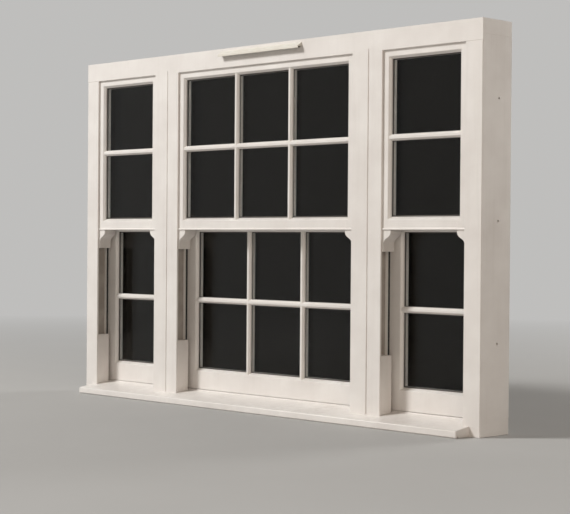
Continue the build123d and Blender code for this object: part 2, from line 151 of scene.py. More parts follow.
def box_profile(low_a, low_b, high_a, high_b, cut):
    """Rectangle with its four corners cut off at 45 degrees."""
    return np.array(
        [
            (low_a + cut, low_b),
            (high_a - cut, low_b),
            (high_a, low_b + cut),
            (high_a, high_b - cut),
            (high_a - cut, high_b),
            (low_a + cut, high_b),
            (low_a, high_b - cut),
            (low_a, low_b + cut),
        ]
    )


# %% [markdown]
# ## Building materials
# A material is a small graph of nodes. One helper adds a node, sets its plain sockets and links the
# others, so each finish reads as a list of what it is made of.

# %% Node helpers
def add_node(tree, kind, inputs=None, **settings):
    """Add one node; a socket given as an input is linked, any other value is set."""
    made = tree.nodes.new(kind)
    for name, value in settings.items():
        setattr(made, name, value)
    for name, value in (inputs or {}).items():
        if isinstance(value, bpy.types.NodeSocket):
            tree.links.new(value, made.inputs[name])
        else:
            made.inputs[name].default_value = value
    return made


def mixed(tree, factor, first, second):
    """Colour between two others."""
    made = tree.nodes.new("ShaderNodeMix")
    made.data_type = "RGBA"
    sockets = (made.inputs[0], made.inputs[6], made.inputs[7])
    for socket, value in zip(sockets, (factor, first, second)):
        if isinstance(value, bpy.types.NodeSocket):
            tree.links.new(value, socket)
        else:
            socket.default_value = value
    return made.outputs[2]


def ranged(tree, value, from_low, from_high, to_low, to_high):
    """Value moved from one range to another and held inside it."""
    ends = {"From Min": from_low, "From Max": from_high, "To Min": to_low, "To Max": to_high}
    return add_node(tree, "ShaderNodeMapRange", {"Value": value, **ends}).outputs[0]


def calc(tree, operation, first, second):
    """One sum, product, largest or smallest of two values."""
    made = tree.nodes.new("ShaderNodeMath")
    made.operation = operation
    for socket, value in zip(made.inputs, (first, second)):
        if isinstance(value, bpy.types.NodeSocket):
            tree.links.new(value, socket)
        else:
            socket.default_value = value
    return made.outputs[0]


def new_group(name, inputs, outputs):
    """Empty shader node group with named sockets; returns it with its two end nodes."""
    tree = bpy.data.node_groups.new(name, "ShaderNodeTree")
    for label, kind in inputs:
        tree.interface.new_socket(label, in_out="INPUT", socket_type=kind)
    for label, kind in outputs:
        tree.interface.new_socket(label, in_out="OUTPUT", socket_type=kind)
    return tree, tree.nodes.new("NodeGroupInput"), tree.nodes.new("NodeGroupOutput")


def new_material(name):
    """Material with one Principled shader, whose sockets are set by the caller."""
    material = bpy.data.materials.new(name)
    material.use_nodes = True
    tree = material.node_tree
    shader = tree.nodes["Principled BSDF"]
    return material, tree, shader


def add_bump(tree, shader, height, distance, strength):
    """Turn a height into the shader's normal."""
    bump = add_node(
        tree, "ShaderNodeBump", {"Height": height, "Distance": distance, "Strength": strength}
    )
    tree.links.new(bump.outputs[0], shader.inputs["Normal"])


def part_of(tree, vector, axis):
    """One of the three parts of a vector."""
    return add_node(tree, "ShaderNodeSeparateXYZ", {0: vector}).outputs[axis]


def use_group(tree, group, inputs):
    """Place a node group in a material with its own values."""
    made = tree.nodes.new("ShaderNodeGroup")
    made.node_tree = group
    for name, value in inputs.items():
        if isinstance(value, bpy.types.NodeSocket):
            tree.links.new(value, made.inputs[name])
        else:
            made.inputs[name].default_value = value
    return made


# %% [markdown]
# ## Effects shared by several finishes
# Brush marks, the grain that shows through paint, and the dust and rain marks of a year outside
# appear on many pieces. Each is a node group that is built once and placed with its own values.
# They could also be painted as pictures, but a worked-out pattern stays sharp close up and needs
# no file.

# %% Brush marks and patches
brush_group, brush_in, brush_out = new_group(
    "brush marks",
    [("Vector", "NodeSocketVector"), ("Stretch", "NodeSocketVector")],
    [("Height", "NodeSocketFloat"), ("Patch", "NodeSocketFloat")],
)
stretched = add_node(
    brush_group,
    "ShaderNodeVectorMath",
    {0: brush_in.outputs["Vector"], 1: brush_in.outputs["Stretch"]},
    operation="MULTIPLY",
)
strokes = add_node(
    brush_group,
    "ShaderNodeTexNoise",
    {"Vector": stretched.outputs[0], "Scale": 1.0, "Detail": 4.0, "Roughness": 0.6},
)
patches = add_node(
    brush_group,
    "ShaderNodeTexNoise",
    {"Vector": brush_in.outputs["Vector"], "Scale": 7.0, "Detail": 5.0, "Roughness": 0.55},
)
brush_group.links.new(strokes.outputs["Fac"], brush_out.inputs["Height"])
brush_group.links.new(
    ranged(brush_group, patches.outputs["Fac"], 0.3, 0.7, 0.0, 1.0), brush_out.inputs["Patch"]
)
print("group:", brush_group.name)

# %% Grain under paint
grain_group, grain_in, grain_out = new_group(
    "timber grain",
    [("Vector", "NodeSocketVector"), ("Stretch", "NodeSocketVector")],
    [("Height", "NodeSocketFloat")],
)
along = add_node(
    grain_group,
    "ShaderNodeVectorMath",
    {0: grain_in.outputs["Vector"], 1: grain_in.outputs["Stretch"]},
    operation="MULTIPLY",
)
rings = add_node(
    grain_group,
    "ShaderNodeTexWave",
    {
        "Vector": along.outputs[0],
        "Scale": 1.0,
        "Distortion": 6.0,
        "Detail": 2.0,
        "Detail Scale": 0.6,
    },
    wave_type="RINGS",
)
pores = add_node(
    grain_group,
    "ShaderNodeTexNoise",
    {"Vector": along.outputs[0], "Scale": 9.0, "Detail": 3.0},
)
both = calc(grain_group, "MULTIPLY", rings.outputs["Fac"], pores.outputs["Fac"])
grain_group.links.new(both, grain_out.inputs["Height"])
print("group:", grain_group.name)

# %% Dust and rain marks
weather_group, weather_in, weather_out = new_group(
    "weather film",
    [("Vector", "NodeSocketVector"), ("Dust", "NodeSocketFloat"), ("Rain", "NodeSocketFloat")],
    [("Mask", "NodeSocketFloat")],
)
facing = add_node(weather_group, "ShaderNodeNewGeometry").outputs["Normal"]
upward_face = ranged(weather_group, part_of(weather_group, facing, "Z"), 0.25, 1.0, 0.0, 1.0)
speckle = add_node(
    weather_group,
    "ShaderNodeTexNoise",
    {"Vector": weather_in.outputs["Vector"], "Scale": 38.0, "Detail": 6.0, "Roughness": 0.65},
)
drift = add_node(
    weather_group,
    "ShaderNodeTexNoise",
    {"Vector": weather_in.outputs["Vector"], "Scale": 5.0, "Detail": 3.0},
)
loose = ranged(weather_group, speckle.outputs["Fac"], 0.42, 0.75, 0.0, 1.0)
drifted = ranged(weather_group, drift.outputs["Fac"], 0.35, 0.7, 0.15, 1.0)
settled = calc(weather_group, "MULTIPLY", loose, drifted)
settled = calc(weather_group, "MULTIPLY", settled, upward_face)
settled = calc(weather_group, "MULTIPLY", settled, weather_in.outputs["Dust"])
down = add_node(
    weather_group,
    "ShaderNodeVectorMath",
    {0: weather_in.outputs["Vector"], 1: (42.0, 42.0, 1.6)},
    operation="MULTIPLY",
)
runs = add_node(
    weather_group,
    "ShaderNodeTexNoise",
    {"Vector": down.outputs[0], "Scale": 1.0, "Detail": 4.0, "Roughness": 0.6},
)
streaks = calc(
    weather_group,
    "MULTIPLY",
    ranged(weather_group, runs.outputs["Fac"], 0.5, 0.8, 0.0, 1.0),
    weather_in.outputs["Rain"],
)
film = calc(weather_group, "MAXIMUM", settled, streaks)
weather_group.links.new(film, weather_out.inputs["Mask"])
print("group:", weather_group.name)

# %% [markdown]
# ## Cream paint
# The frame and the sashes are timber with a sprayed and brushed cream finish, warm white in light
# and a soft grey brown in shade. Boards and stiles stand upright and rails lie level, and both the
# brush and the grain follow the piece. The same recipe is therefore made with the stretch turned.
# The parting beads are a fresher white. The side faces of the posts inside the tracks carry painted
# shade, a darker brown standing in for the shade there, but not the side towards the wall.

# %% Cream paint
def make_paint(name, dull, fresh, brush_stretch, grain_stretch, dust, rain):
    """Paint over timber in two close colours, with brush marks and grain along the piece."""
    material, tree, shader = new_material(name)
    place = add_node(tree, "ShaderNodeTexCoord").outputs["Object"]
    brush = use_group(tree, brush_group, {"Vector": place, "Stretch": brush_stretch})
    grain = use_group(tree, grain_group, {"Vector": place, "Stretch": grain_stretch})
    weather = use_group(tree, weather_group, {"Vector": place, "Dust": dust, "Rain": rain})
    paint = mixed(tree, brush.outputs["Patch"], (*dull, 1.0), (*fresh, 1.0))
    dirty = mixed(tree, weather.outputs["Mask"], paint, (0.36, 0.31, 0.25, 1.0))
    tree.links.new(dirty, shader.inputs["Base Color"])
    gloss = ranged(tree, brush.outputs["Patch"], 0.0, 1.0, 0.32, 0.44)
    rough = calc(tree, "ADD", gloss, calc(tree, "MULTIPLY", weather.outputs["Mask"], 0.35))
    tree.links.new(rough, shader.inputs["Roughness"])
    shader.inputs["Coat Weight"].default_value = 0.15
    shader.inputs["Coat Roughness"].default_value = 0.28
    relief = calc(
        tree,
        "ADD",
        calc(tree, "MULTIPLY", brush.outputs["Height"], 0.5),
        calc(tree, "MULTIPLY", grain.outputs["Height"], 0.8),
    )
    add_bump(tree, shader, relief, 0.0004, 0.35)
    return material


cream = ((0.80, 0.757, 0.722), (0.885, 0.85, 0.815))
bead_white = ((0.88, 0.865, 0.83), (0.91, 0.90, 0.87))
upright = ((420, 420, 9), (60, 60, 2.2))
level = ((9, 420, 420), (2.2, 60, 60))
either_way = ((160, 160, 160), (30, 30, 30))
upright_paint = make_paint("cream paint upright", *cream, *upright, 0.5, 0.10)
level_paint = make_paint("cream paint level", *cream, *level, 0.35, 0.05)
bar_paint = make_paint("cream paint bars", *cream, *either_way, 0.4, 0.04)
bead_paint = make_paint("bead paint", *bead_white, *upright, 0.3, 0.04)
post_paint = make_paint("post paint", *cream, *upright, 0.5, 0.10)
print("paints:", [material.name for material in bpy.data.materials if "paint" in material.name])

# %% Painted shade in the tracks
wall_side = 1.0
tree = post_paint.node_tree
coat = tree.nodes["Principled BSDF"].inputs["Base Color"]
painted = coat.links[0].from_socket
place = add_node(tree, "ShaderNodeTexCoord").outputs["Object"]
across = calc(tree, "ABSOLUTE", part_of(tree, place, "X"), 0.0)
normal = add_node(tree, "ShaderNodeNewGeometry").outputs["Normal"]
sideways = calc(tree, "ABSOLUTE", part_of(tree, normal, "X"), 0.0)
shade_mottle = add_node(tree, "ShaderNodeTexNoise", {"Vector": place, "Scale": 14.0, "Detail": 4.0})
painted_track_shade = ranged(tree, shade_mottle.outputs["Fac"], 0.2, 0.6, 0.6, 0.9)
painted_track_shade = calc(tree, "MULTIPLY", painted_track_shade, calc(tree, "LESS_THAN", across, wall_side))
painted_track_shade = calc(tree, "MULTIPLY", painted_track_shade, ranged(tree, sideways, 0.6, 0.8, 0.0, 1.0))
# Painted shade: sideways faces of the posts in the tracks are mixed towards a dark brown that
# stands in for the shade in the recess.
tree.links.new(mixed(tree, painted_track_shade, painted, (0.27, 0.235, 0.20, 1.0)), coat)
print("shaded_tracks:", post_paint.name)

# %% [markdown]
# ## Glass
# Each unit is two sheets of float glass. The outer sheet is nearly clear, so that the pale spacer
# behind it shows. By day a room reads as nearly black through a window, and that darkness is
# painted into the room-side sheet as a deep tint: painted shade of the room behind, not a colour of
# the glass. Which sheet a point lies on follows from its depth, and the two tracks repeat at a
# fixed pitch, so one short sum serves all the sashes. Faint smears and a slow wave break the gloss.

# %% Glass
track_pitch = 0.069
outer_unit_middle = sum(corner[1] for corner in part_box("outer_left_glass")) / 2
glass, tree, shader = new_material("float glass")
place = add_node(tree, "ShaderNodeTexCoord").outputs["Object"]
depth = calc(tree, "SUBTRACT", part_of(tree, place, "Y"), outer_unit_middle)
tracks = calc(tree, "DIVIDE", depth, track_pitch)
room_pane_painted_dark = calc(tree, "LESS_THAN", calc(tree, "FRACT", tracks, 0.0), 0.5)
# Painted shade: the room-side sheet gets a near-black tint that stands in for the dark room behind
# it.
tint = mixed(tree, room_pane_painted_dark, (0.93, 0.94, 0.935, 1.0), (0.0095, 0.0082, 0.0065, 1.0))
tree.links.new(tint, shader.inputs["Base Color"])
shader.inputs["Transmission Weight"].default_value = 1.0
shader.inputs["IOR"].default_value = 1.18
smear = add_node(
    tree, "ShaderNodeTexNoise", {"Vector": place, "Scale": 9.0, "Detail": 5.0, "Distortion": 0.8}
)
smeared = ranged(tree, smear.outputs["Fac"], 0.45, 0.75, 0.0, 0.012)
tree.links.new(smeared, shader.inputs["Roughness"])
waves = add_node(tree, "ShaderNodeTexNoise", {"Vector": place, "Scale": 3.0, "Detail": 1.0})
add_bump(tree, shader, waves.outputs["Fac"], 0.0006, 0.4)
print("glass:", glass.name)

# %% [markdown]
# ## Metal, plastic, seals and brush
# The small parts have their own finishes: chromed fittings with fine scratches and finger marks,
# drawn metal between the panes, moulded cream plastic, smooth off-white tube, dark glazing seal
# and black brush pile. Each is one short graph of the same kind.

# %% Fittings, spacers, plastics, seals and pile
def make_finish(name, colour, other, metal, rough, stretch, relief):
    """Two close colours in patches, uneven gloss and fine relief along a stretch."""
    material, tree, shader = new_material(name)
    place = add_node(tree, "ShaderNodeTexCoord").outputs["Object"]
    along = add_node(tree, "ShaderNodeVectorMath", {0: place, 1: stretch}, operation="MULTIPLY")
    fine = add_node(
        tree, "ShaderNodeTexNoise", {"Vector": along.outputs[0], "Scale": 1.0, "Detail": 5.0}
    )
    patch = add_node(tree, "ShaderNodeTexNoise", {"Vector": place, "Scale": 30.0, "Detail": 4.0})
    spread = ranged(tree, patch.outputs["Fac"], 0.35, 0.65, 0.0, 1.0)
    tint = mixed(tree, spread, (*colour, 1.0), (*other, 1.0))
    tree.links.new(tint, shader.inputs["Base Color"])
    tree.links.new(ranged(tree, spread, 0.0, 1.0, *rough), shader.inputs["Roughness"])
    shader.inputs["Metallic"].default_value = metal
    add_bump(tree, shader, fine.outputs["Fac"], relief, 0.5)
    return material, shader


chrome, _ = make_finish(
    "chromed fitting", (0.78, 0.78, 0.77), (0.70, 0.70, 0.68),
    metal=1.0, rough=(0.12, 0.30), stretch=(900, 900, 60), relief=0.00004,
)
spacer_metal, _ = make_finish(
    "spacer metal", (0.94, 0.91, 0.87), (0.87, 0.84, 0.80),
    metal=0.0, rough=(0.35, 0.50), stretch=(50, 900, 50), relief=0.00005,
)
vent_plastic, _ = make_finish(
    "moulded plastic", (0.80, 0.77, 0.70), (0.76, 0.72, 0.64),
    metal=0.0, rough=(0.45, 0.60), stretch=(700, 700, 700), relief=0.0001,
)
tube_plastic, _ = make_finish(
    "tube plastic", (0.85, 0.84, 0.80), (0.80, 0.79, 0.75),
    metal=0.0, rough=(0.22, 0.34), stretch=(300, 300, 5), relief=0.00006,
)
# Partly painted shade: the seal is made near black so that it also carries the shade deep in the
# corner at the glass edge.
seal_rubber_and_edge_shade, _ = make_finish(
    "glazing seal", (0.060, 0.050, 0.043), (0.095, 0.080, 0.068),
    metal=0.0, rough=(0.50, 0.70), stretch=(200, 200, 200), relief=0.0001,
)
pile_black, pile_shader = make_finish(
    "brush pile", (0.012, 0.012, 0.012), (0.022, 0.021, 0.020),
    metal=0.0, rough=(0.85, 0.95), stretch=(2500, 2500, 120), relief=0.0005,
)
pile_shader.inputs["Sheen Weight"].default_value = 0.2
# Partly painted shade: the gauze is near black so that it also stands in for the shade inside the
# slot.
gauze_and_slot_shade, _ = make_finish(
    "vent gauze", (0.05, 0.045, 0.04), (0.08, 0.07, 0.06),
    metal=0.0, rough=(0.70, 0.85), stretch=(900, 900, 900), relief=0.0002,
)
print("finishes:", len(bpy.data.materials))

# %% [markdown]
# ## Finishing the solids
# The solids have sharp arrises, but a joiner rubs every edge down before painting. A Bevel modifier
# does that without touching the mesh: Weld joins the loose triangles, Decimate drops the lines
# inside flat faces, and Bevel then meets clean edges only. The eased ends also leave the hairline
# that a painted joint shows.

# %% Finish the solids
def soften(piece, width):
    """Rub the arrises of a solid down by a small width."""
    weld = piece.modifiers.new("weld", "WELD")
    weld.merge_threshold = 0.00002
    flat = piece.modifiers.new("flat faces", "DECIMATE")
    flat.decimate_type = "DISSOLVE"
    flat.angle_limit = np.radians(0.6)
    ease = piece.modifiers.new("eased arris", "BEVEL")
    ease.width = width
    ease.segments = 2
    ease.limit_method = "ANGLE"
    ease.angle_limit = np.radians(28)
    ease.harden_normals = True


finishes = {
    "stiles": (upright_paint, 0.0006),
    "rails": (level_paint, 0.0006),
    "bars": (bar_paint, 0.0003),
    "glass": (glass, 0.0),
    "sill": (level_paint, 0.0010),
    "head": (level_paint, 0.0008),
    "head_lining": (level_paint, 0.0),
    "head_beads": (level_paint, 0.0008),
    "stop_blocks": (upright_paint, 0.0012),
    "balance_tubes": (tube_plastic, 0.0),
    "vent_canopy": (vent_plastic, 0.0006),
    "jamb_lining": (upright_paint, 0.0),
    "mullion_linings": (upright_paint, 0.0),
    "jamb_beads": (bead_paint, 0.0008),
    "mullion_beads": (bead_paint, 0.0008),
    "jamb": (post_paint, 0.0),
    "mullion": (post_paint, 0.0008),
    "keeper": (chrome, 0.0005),
    "lock_base": (chrome, 0.0005),
    "lock_lever": (chrome, 0.0007),
    "sash_lift": (chrome, 0.0008),
}
for name, piece in nodes.items():
    key = name if name in finishes else max((k for k in finishes if k in name), key=len)
    material, width = finishes[key]
    piece.data.materials.clear()
    piece.data.materials.append(material)
    if width:
        soften(piece, width)
print("finished:", len(nodes), "solids")

# %% [markdown]
# ## Spacers and dividers between the panes
# A sealed unit has a hollow bar round its edge that keeps the panes apart. On a unit with glazing
# bars a divider stands behind each bar, so that the bar looks solid from the side. Both show as a
# pale strip beside the timber. They are a boxy profile carried round the unit and along each bar.

# %% Panes and where they are
glass_cover = 0.012
bead_step = 0.0055
bar_width = 0.0215
middle_pane = 0.263
pane_thickness = 0.004
sides = ("left", "centre", "right")


def sight_of(layer, side, step=bead_step):
    """Lowest and highest corner of the glass that shows, wider by a step at each side outside."""
    low, high = (np.array(corner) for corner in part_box(f"{layer}_{side}_glass"))
    inset = np.array([glass_cover - step, 0.0, glass_cover])
    return low + inset, high - inset


def columns_between(low, high, side):
    """Start and end of each pane across: one in a side light, three in the middle light."""
    if side != "centre":
        return np.array([low]), np.array([high])
    inner, outer = middle_pane / 2, middle_pane / 2 + bar_width
    middle = (low + high) / 2
    starts = middle + np.array([low - middle, -inner, outer])
    ends = middle + np.array([-outer, inner, high - middle])
    return starts, ends


def rows_between(low, high):
    """Start and end of the two rows of panes, of equal height."""
    pitch = (high - low + bar_width) / 2
    starts = low + pitch * np.arange(2)
    return starts, starts + pitch - bar_width


def ring_path(x_low, x_high, z_low, z_high, depth):
    """Corners of a rectangle facing outside, with the inward diagonal at each one."""
    corners = np.array(
        [
            (x_low, depth, z_low),
            (x_high, depth, z_low),
            (x_high, depth, z_high),
            (x_low, depth, z_high),
        ]
    )
    inward = np.array([(1, 0, 1), (-1, 0, 1), (-1, 0, -1), (1, 0, -1)])
    return corners, inward


# %% Spacers and dividers
spacer_under, spacer_shows = 0.0055, 0.0025
spacer_corner = 0.0008
divider_half = 0.0105


def make_spacer(layer, side):
    """Bar round the edge of a unit, and dividers behind its glazing bars."""
    low, high = sight_of(layer, side)
    front, back = low[1] + pane_thickness, high[1] - pane_thickness
    path, inward = ring_path(low[0], high[0], low[2], high[2], 0.0)
    shape = box_profile(-spacer_under, front, spacer_shows, back, spacer_corner)
    parts = [carried(shape, path, inward, (0, 1, 0), closed=True)]
    shape = box_profile(-divider_half, front, divider_half, back, spacer_corner)
    starts, ends = rows_between(low[2], high[2])
    level = (ends[0] + starts[1]) / 2
    starts, ends = columns_between(low[0], high[0], side)
    for middle in (ends[:-1] + starts[1:]) / 2:
        path = [(middle, 0, low[2]), (middle, 0, high[2])]
        parts.append(carried(shape, path, (1, 0, 0), (0, 1, 0)))
    for x_low, x_high in zip(starts, ends):
        reach = bar_width / 2 - divider_half
        path = [(x_low - reach, 0, level), (x_high + reach, 0, level)]
        parts.append(carried(shape, path, (0, 0, 1), (0, 1, 0)))
    name = f"{layer}_{side}_spacers"
    return new_piece(name, joined(parts), spacer_metal, f"{layer}_{side}", False)


for side in sides:
    for layer in ("outer", "inner"):
        made = make_spacer(layer, side)
        print(made.name, len(made.data.polygons), "faces")

# %% [markdown]
# ## Glazing seals
# A dark rubber seal fills the corner between glass and timber round every pane, on both sides. Its
# near-black colour also carries painted shade: from the street it draws the dark line between the
# paint and the pale spacer, where the deep corner at the glass edge lies in shade. It is a hollow
# curve carried round each pane, with a wider one along the stiles and rails than beside the bars.

# %% Glazing seals
edge_seal, bar_seal = 0.0034, 0.0018
seal_under = 0.0008


def seal_profile(width, way):
    """Hollow fillet: a quarter circle centred in front of the glass, way 1 or -1 along Y."""
    turn = np.linspace(0.0, np.pi / 2, 4)
    arc = np.stack([width - width * np.cos(turn), way * (width - width * np.sin(turn))], axis=1)
    return np.concatenate([[(-seal_under, 0.0)], [(-seal_under, way * width)], arc])


def make_seals(layer, side):
    """Seals round every pane of one sash, on its outer and its room face."""
    parts = []
    for way, step in ((-1, bead_step), (1, 0.0)):
        low, high = sight_of(layer, side, step)
        depth = low[1] if way < 0 else high[1]
        path, inward = ring_path(low[0], high[0], low[2], high[2], depth)
        shape = seal_profile(edge_seal, way)
        parts.append(carried(shape, path, inward, (0, 1, 0), closed=True))
        shape = seal_profile(bar_seal, way)
        for x_low, x_high in zip(*columns_between(low[0], high[0], side)):
            for z_low, z_high in zip(*rows_between(low[2], high[2])):
                path, inward = ring_path(x_low, x_high, z_low, z_high, depth)
                parts.append(carried(shape, path, inward, (0, 1, 0), closed=True))
    name = f"{layer}_{side}_seals"
    return new_piece(name, joined(parts), seal_rubber_and_edge_shade, f"{layer}_{side}")


for side in sides:
    for layer in ("outer", "inner"):
        made = make_seals(layer, side)
        print(made.name, len(made.data.polygons), "faces")

# %% [markdown]
# ## Brush strips
# Black brush pile on the parting beads keeps draughts out beside the lower sashes. It shows from
# outside as a dark line between the bead and the sash. The strip is a low ridge carried up the
# bead, and its crest wavers a little from step to step as cut fibres do.

# %% Brush strips
pile_foot, pile_top = 0.052, 1.288
bead_inset = 0.0017
bead_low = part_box("outer_left_stiles")[1][1] + bead_inset
bead_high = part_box("inner_left_stiles")[0][1] - bead_inset
pile_base, pile_height = 0.0003, 0.0024
lowest_tip, highest_tip = 0.0018, 0.00265
wobble = np.random.default_rng(11)


def make_pile(face, inward, steps=420):
    """Ridge along a bead: crest height = 2.4 mm plus a small seeded waver, kept under 2.65 mm."""
    height = np.linspace(pile_foot, pile_top, steps)
    across = np.linspace(bead_low, bead_high, 5)
    tips = pile_height + wobble.normal(0, 0.00018, (steps, 1))
    crest = np.array([0.0, 0.7, 1.0, 0.7, 0.0]) * np.clip(tips, lowest_tip, highest_tip)
    waver = wobble.normal(0, 0.00025, (steps, 5)) * np.array([0, 1, 1, 1, 0])
    crest_line = [
        face + inward * (pile_base + crest),
        across + waver,
        np.broadcast_to(height[:, None], (steps, 5)),
    ]
    foot_line = [
        np.full((steps, 2), face),
        np.broadcast_to(np.array([bead_high, bead_low]), (steps, 2)),
        np.broadcast_to(height[:, None], (steps, 2)),
    ]
    points = np.concatenate([np.stack(crest_line, axis=-1), np.stack(foot_line, axis=-1)], axis=1)
    count = points.shape[1]
    last = (steps - 1) * count
    faces = grid_faces(steps, count, False, True)
    faces += [list(range(count)), [last + j for j in reversed(range(count))]]
    return points.reshape(-1, 3), faces


side_gap, parting = 0.003, 0.013
post_faces = {}
for side in sides:
    low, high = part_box(f"outer_{side}_stiles")
    post_faces[side] = (low[0] - side_gap, high[0] + side_gap)
strips = []
for left, right in post_faces.values():
    strips += [make_pile(left + parting, 1), make_pile(right - parting, -1)]
brush_strips = new_piece("brush_strips", joined(strips), pile_black, "frame")
print(brush_strips.name, len(brush_strips.data.polygons), "faces")

# %% [markdown]
# ## Gauze of the ventilation slot
# Under the hood on the head a row of slots lets air through, with dark gauze behind them. From
# below it reads as a dark line with fine ribs; the dark backing also carries painted shade,
# standing in for the shaded cavity behind the slots. A backing strip and a row of small ribs are
# enough.

# %% Ventilation gauze
canopy_low, canopy_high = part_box("vent_canopy")
gauze_foot = canopy_low[2] + 0.0035
gauze_thickness = 0.0018
rib_count, rib_half = 52, 0.0007
end_inset, first_rib = 0.006, 0.008
backing = carried(
    box_profile(-0.017, gauze_foot, -0.0003, gauze_foot + gauze_thickness, 0.0003),
    [(canopy_low[0] + end_inset, 0, 0), (canopy_high[0] - end_inset, 0, 0)],
    (0, 1, 0),
    (0, 0, 1),
)
rib_profile = box_profile(-0.0165, gauze_foot - 0.0012, -0.0004, gauze_foot + 0.0004, 0.0002)
ribs = [
    carried(rib_profile, [(x - rib_half, 0, 0), (x + rib_half, 0, 0)], (0, 1, 0), (0, 0, 1))
    for x in np.linspace(canopy_low[0] + first_rib, canopy_high[0] - first_rib, rib_count)
]
vent_gauze = new_piece("vent_gauze", backing, gauze_and_slot_shade, "frame", False)
vent_ribs = new_piece("vent_ribs", joined(ribs), vent_plastic, "frame", False)
print(vent_gauze.name, vent_ribs.name, rib_count, "ribs")

# %% [markdown]
# ## Screws, caps and knobs
# The fittings are held by cross-head screws, and each lock lever has a domed cap over its pin and a
# knob to pull. A screw head is a height over a disc: a dome with a cross sunk into it. Caps and
# knobs are profiles turned round an axis.

# %% Screws
full_dome, cross_depth = 0.0011, 0.0006
arm_half, arm_end = 0.16, 0.72
screw_rings, screw_count = 8, 32


def screw_shape(centre, normal, side, radius=0.0033, dome=full_dome):
    """Height over a disc = dome * (1 - 0.75 r^2) less a cross that ends inside the rim."""
    centre, normal, side = (np.array(v, float) for v in (centre, normal, side))
    other = np.cross(normal, side)
    share = np.linspace(0.0, 1.0, screw_rings + 1)[1:, None]
    turn = np.linspace(0.0, 2 * np.pi, screw_count, endpoint=False)[None, :]
    a, b = share * np.cos(turn), share * np.sin(turn)
    arm = np.clip(1.0 - np.minimum(np.abs(a), np.abs(b)) / arm_half, 0.0, 1.0)
    cross = arm * np.clip((arm_end - share) / 0.1, 0.0, 1.0)
    sunk = cross_depth * dome / full_dome
    height = dome * (1.0 - 0.75 * share**2) - sunk * cross
    height[-1] = 0.0
    points = (
        centre
        + radius * (a[..., None] * side + b[..., None] * other)
        + height[..., None] * normal
    ).reshape(-1, 3)
    points = np.concatenate([points, [centre + normal * (dome - sunk)]])
    middle, last = len(points) - 1, (screw_rings - 1) * screw_count
    faces = grid_faces(screw_rings, screw_count, False, True)
    faces += [[middle, j, (j + 1) % screw_count] for j in range(screw_count)]
    faces += [[last + j for j in reversed(range(screw_count))]]
    return points, faces


def turned_shape(centre, profile, count=28):
    """Pairs of radius and height turned round an upright axis, with a point at each end."""
    profile = np.array(profile, float)
    turn = np.linspace(0.0, 2 * np.pi, count, endpoint=False)
    ring = np.stack([np.cos(turn), np.sin(turn)], axis=1)
    rings = len(profile) - 2
    across = profile[1:-1, 0][:, None, None] * ring[None]
    along = np.broadcast_to(profile[1:-1, 1][:, None, None], (rings, count, 1))
    points = np.concatenate([across, along], axis=-1).reshape(-1, 3)
    ends = np.array([(0, 0, profile[0, 1]), (0, 0, profile[-1, 1])])
    points = np.concatenate([points, ends]) + np.array(centre)
    last = (rings - 1) * count
    foot, top = len(points) - 2, len(points) - 1
    faces = grid_faces(rings, count, False, True)
    faces += [[foot, (j + 1) % count, j] for j in range(count)]
    faces += [[top, last + j, last + (j + 1) % count] for j in range(count)]
    return points, faces


# %% Fittings
lock_places = {
    "left": [("left", -0.78)],
    "centre": [("centre_1", -0.274), ("centre_2", 0.274)],
    "right": [("right", 0.78)],
}
plate_thickness, plate_screw = 0.003, 0.0215
knob_reach, knob_drop = 0.0400, 0.0022
knob_radius, knob_half = 0.0068, 0.0062
lift_half, lift_screw_step, lift_screw_level = 0.021, 0.012, 0.0235
base_low, base_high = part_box("lock_base_left")
lock_pivot = (base_low[1] + base_high[1]) / 2
rise_to_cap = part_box("lock_lever_left")[1][2]
cap = [
    (0, 0),
    (0.0070, 0),
    (0.0072, 0.0006),
    (0.0066, 0.0015),
    (0.0050, 0.0022),
    (0.0026, 0.0026),
    (0, 0.0027),
]
knob = [(0, -knob_half)]
for t in np.linspace(0.35, np.pi - 0.35, 9):
    knob.append((knob_radius * np.sin(t), -knob_half * np.cos(t)))
knob.append((0, knob_half))
for side, locks in lock_places.items():
    plate_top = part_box(f"lock_base_{side}")[0][2] + plate_thickness
    heads = []
    for tag, x in locks:
        for step, dome in ((-plate_screw, full_dome), (plate_screw, 0.0002)):
            place = (x + step, lock_pivot, plate_top)
            heads.append(screw_shape(place, (0, 0, 1), (1, 0, 0), dome=dome))
        shape = joined(
            [
                turned_shape((x, lock_pivot, rise_to_cap - 0.0001), cap),
                turned_shape((x - knob_reach, lock_pivot, rise_to_cap - knob_drop), knob),
            ]
        )
        new_piece(f"lever_knob_{tag}", shape, chrome, f"lever_{tag}")
    lift_low, lift_high = (np.array(corner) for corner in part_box(f"sash_lift_{side}"))
    for x in {lift_low[0] + lift_half, lift_high[0] - lift_half}:
        for step in (-lift_screw_step, lift_screw_step):
            place = (x + step, lift_low[1] + plate_thickness, lift_low[2] + lift_screw_level)
            heads.append(screw_shape(place, (0, 1, 0), (1, 0, 0)))
    made = new_piece(
        f"fitting_screws_{side}", joined(heads), chrome, f"inner_{side}"
    )
    print(made.name, len(heads), "screws")

# %% Screws of the tubes
tube_low, tube_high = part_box("balance_tubes")
tube_radius = 0.0075
lower_by = 0.1495
tube_levels = (
    (tube_low[1] + tube_radius, tube_high[2]),
    (tube_high[1] - tube_radius, tube_high[2] - lower_by),
)
heads = []
for left, right in post_faces.values():
    for face, way in ((left, 1), (right, -1)):
        for depth, top in tube_levels:
            place = (face + way * 0.0155, depth, top - 0.008)
            heads.append(screw_shape(place, (way, 0, 0), (0, 1, 0), radius=0.0030, dome=0.0010))
tube_screws = new_piece("tube_screws", joined(heads), chrome, "frame")
print(tube_screws.name, len(heads), "screws")

# %% [markdown]
# ## Floor, backdrop and light
# The window stands on a plain pale floor. The floor fades with distance into the backdrop's colour,
# so no horizon line cuts through the picture. A soft lamp from the upper left models the mouldings,
# a second one fills from the right, a third lights the room side, and the surroundings give an even
# base level. The lamps are kept low enough that the paint stays below white.

